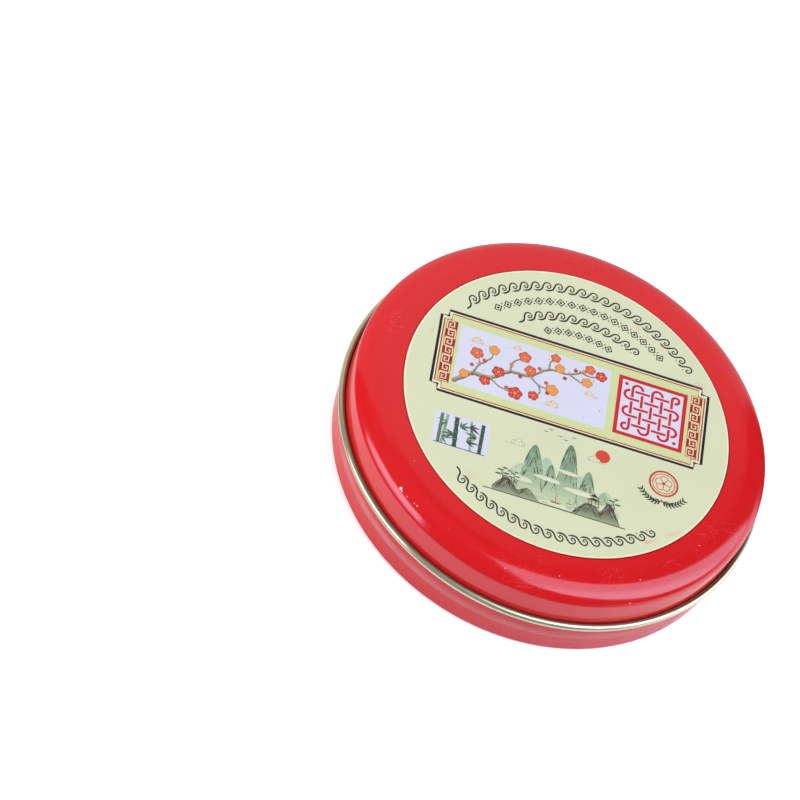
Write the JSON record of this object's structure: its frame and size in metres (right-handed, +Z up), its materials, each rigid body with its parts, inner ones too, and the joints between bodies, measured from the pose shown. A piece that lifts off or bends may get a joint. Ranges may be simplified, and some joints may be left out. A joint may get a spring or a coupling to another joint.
{
  "type": "seal paste box",
  "caption": "Shallow round tin for seal paste: a drawn base pan, a slip-on lid with an outward rolled hem and a printed disc, red paste inside and a clear film disc over it.",
  "frame": {"origin": "on the table, in the middle of the ring that the base stands on", "axes": "+Z up along the tin's axis; +X is the reading direction of the printed disc, so -Y is its lower edge"},
  "size_m": [0.0902, 0.0902, 0.0206],
  "materials": {
    "base_enamel": "gloss",
    "lid_enamel": "gloss",
    "label_print": "satin",
    "paste": "satin",
    "film": "gloss"
  },
  "bodies": {
    "base": {"base_shell": "base_enamel", "seal_paste": "paste"},
    "film": {"cover_film": "film"},
    "lid": {"lid_shell": "lid_enamel", "lid_label": "label_print"}
  },
  "joints": [
    {"name": "lid_lift", "type": "slide", "parent": "base", "child": "lid", "axis": [0, 0, 1], "range_m": [0, 0.05]},
    {"name": "film_lift", "type": "slide", "parent": "base", "child": "film", "axis": [0, 0, 1], "range_m": [0, 0.02]}
  ],
  "couplings": [
    {"joint": "film_lift", "follows": "lid_lift", "ratio": 0.4}
  ]
}
